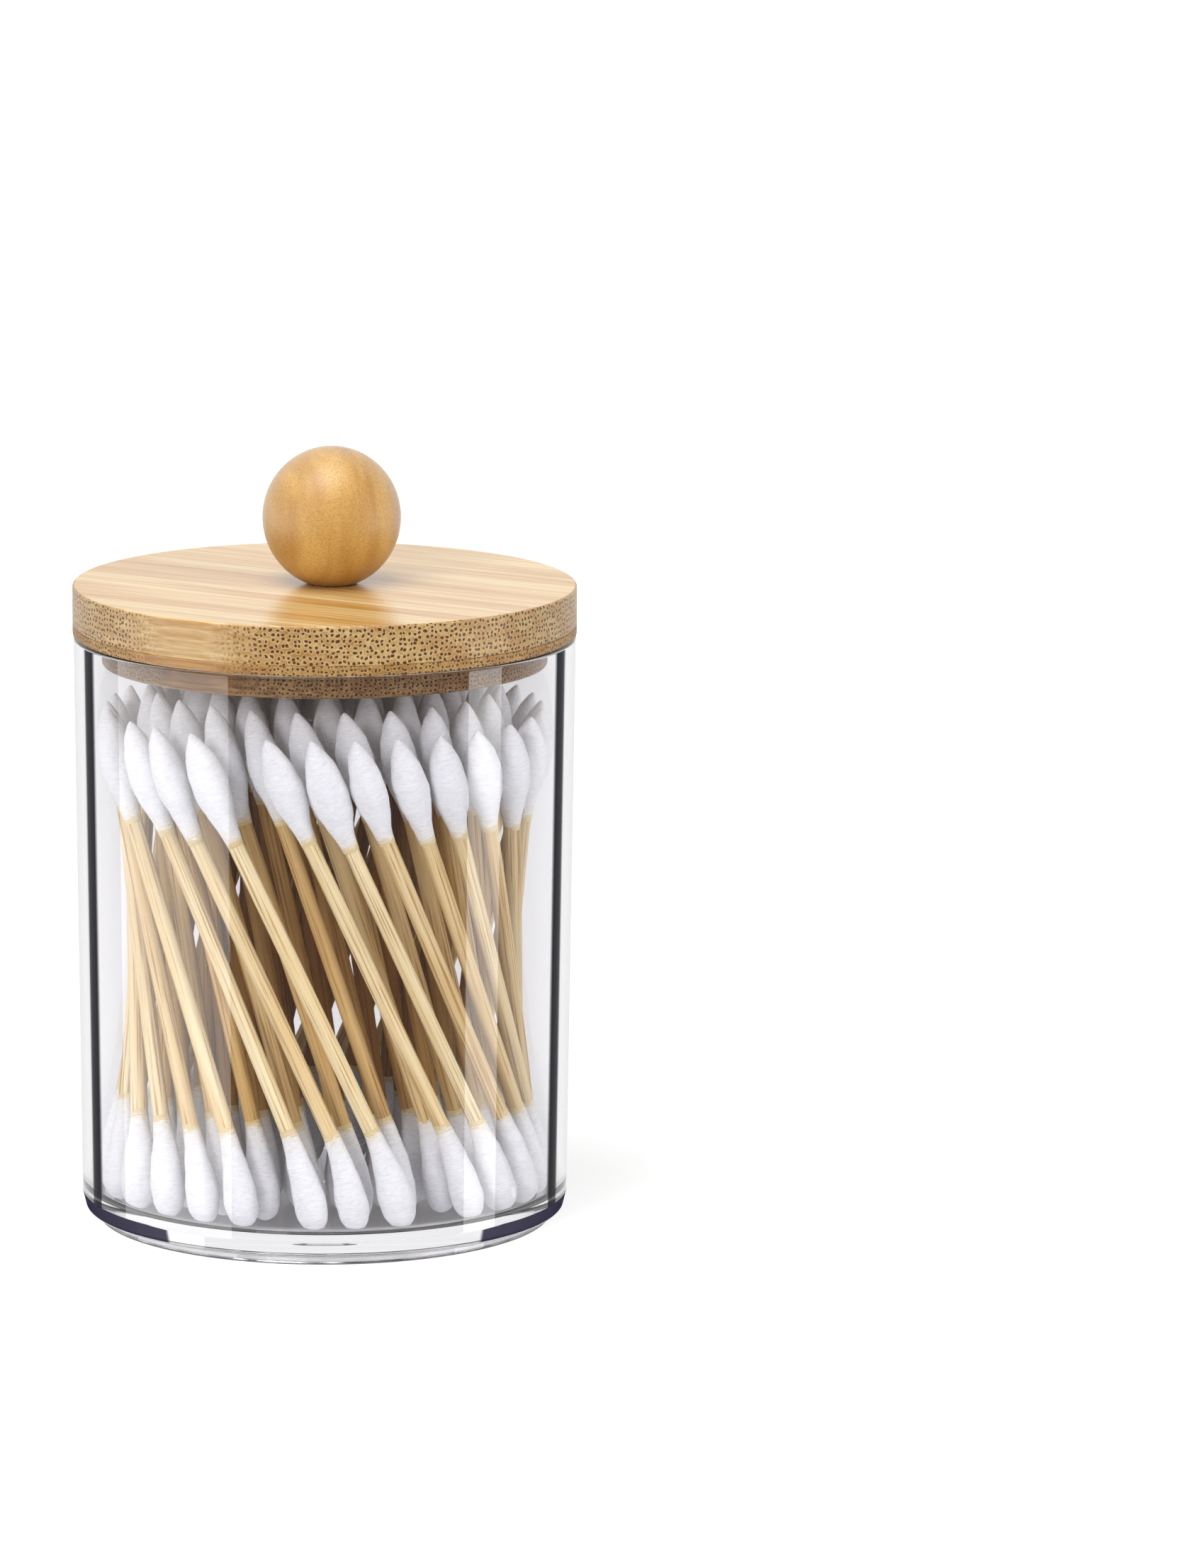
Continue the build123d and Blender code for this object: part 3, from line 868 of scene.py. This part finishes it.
def make_wisps(swabs, name, material):
    """Loose cotton fibres that stand off the heads and cling to the jar's wall."""
    count, fibre_radius, stride = 90, 0.022, 0.38
    inside, lowest, highest = 33.4, 5.2, 82.2
    verts, faces, own, cover = [], [], [], []
    for number in range(count):
        chance = random.Random(500 + number)
        swab = chance.choice(swabs)
        depth = chance.choice((chance.uniform(1, 17), chance.uniform(62, 76)))
        out = Matrix.Rotation(chance.uniform(0, 2 * math.pi), 3, swab.along) @ swab.lean
        spot = swab.at(swab.length - depth) + out * (1.0 + 1.3 * math.sin(math.pi * min(1.0, depth / 17)))
        heading = (out + Vector([chance.uniform(-1, 1) for _ in range(3)])).normalized()
        curl = Vector([chance.uniform(-1, 1) for _ in range(3)]).normalized()
        line = [spot]
        for step in range(chance.randint(8, 22)):
            heading = (Matrix.Rotation(chance.uniform(0.1, 0.35), 3, curl) @ heading).normalized()
            curl = (curl + Vector([chance.uniform(-0.3, 0.3) for _ in range(3)])).normalized()
            spot = spot + heading * stride
            limit = inside / max(inside, Vector((spot.x, spot.y)).length)
            spot = Vector((spot.x * limit, spot.y * limit, min(highest, max(lowest, spot.z))))
            line.append(spot)
        start = len(verts)
        for i, here in enumerate(line):
            ahead = (line[min(i + 1, len(line) - 1)] - line[max(i - 1, 0)]).normalized()
            x = ahead.orthogonal().normalized()
            for k in range(3):
                verts.append((here + Matrix.Rotation(2 * math.pi * k / 3, 3, ahead) @ x * fibre_radius) * MM)
                own.append(here)
                cover.append(1.0)
        for i in range(len(line) - 1):
            for k in range(3):
                a, b = start + 3 * i + k, start + 3 * i + (k + 1) % 3
                faces.append((a, b, b + 3, a + 3))
    mesh = bpy.data.meshes.new(name)
    mesh.from_pydata(verts, [], faces)
    mesh.shade_smooth()
    store(mesh, "own_mm", "FLOAT_VECTOR", own)
    store(mesh, "cover", "FLOAT", cover)
    return link(mesh, name, [material], "jar", "swab_cotton")


class SWABJAR_OT_swabs(bpy.types.Operator):
    """Every swab as a bamboo stick and its two cotton heads"""

    bl_idname = "swabjar.swabs"
    bl_label = "Swabs"

    def execute(self, context):
        sizes = context.scene.swabjar_swab
        cotton, wood = cotton_material(sizes.cotton), stick_material()
        named = sorted(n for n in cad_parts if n.startswith("swab_"))
        outer = []
        for number, node in enumerate(named):
            foot, tip = swab_axes(node)[0]
            swab = Swab(foot, tip, number, sizes.bend)
            outer.append(swab)
            make_cotton([swab], node + "_cotton", sizes, 1.0, cotton, [node])
            make_sticks([swab], node + "_stick", sizes, 1.0, wood, [node])
        make_wisps(outer, "cotton_wisps", cotton)
        core = [Swab(foot, tip, 100 + i, sizes.bend) for i, (foot, tip) in enumerate(swab_axes("core_swabs"))]
        make_cotton(core, "core_cotton", sizes, 0.5, cotton, ["core_swabs"])
        make_sticks(core, "core_sticks", sizes, 0.6, wood, ["core_swabs"])
        return {"FINISHED"}


class SWABJAR_PT_panel(bpy.types.Panel):
    """Sidebar panel with the holder's pieces"""

    bl_label = "Swab holder"
    bl_space_type = "VIEW_3D"
    bl_region_type = "UI"
    bl_category = "Swab holder"

    def draw(self, context):
        for operator in OPERATORS:
            self.layout.operator(operator.bl_idname)
        for group_name in GROUPS:
            group = getattr(context.scene, group_name)
            for name in group.__annotations__:
                self.layout.prop(group, name)


OPERATORS = (SWABJAR_OT_stage, SWABJAR_OT_jar, SWABJAR_OT_lid, SWABJAR_OT_knob, SWABJAR_OT_swabs)
GROUPS = {
    "swabjar_stage": StageSizes, "swabjar_jar": JarSizes, "swabjar_lid": LidSizes, "swabjar_knob": KnobSizes,
    "swabjar_swab": SwabSizes,
}


def register():
    for group in GROUPS.values():
        bpy.utils.register_class(group)
    for operator in OPERATORS:
        bpy.utils.register_class(operator)
    bpy.utils.register_class(SWABJAR_PT_panel)
    for name, group in GROUPS.items():
        setattr(bpy.types.Scene, name, PointerProperty(type=group))


def unregister():
    for name in GROUPS:
        delattr(bpy.types.Scene, name)
    bpy.utils.unregister_class(SWABJAR_PT_panel)
    for operator in reversed(OPERATORS):
        bpy.utils.unregister_class(operator)
    for group in reversed(list(GROUPS.values())):
        bpy.utils.unregister_class(group)


def main():
    register()
    bpy.ops.swabjar.stage()
    bpy.ops.swabjar.jar()
    bpy.ops.swabjar.lid()
    bpy.ops.swabjar.knob()
    bpy.ops.swabjar.swabs()
    bpy.context.view_layer.update()


if __name__ == "__main__":
    main()
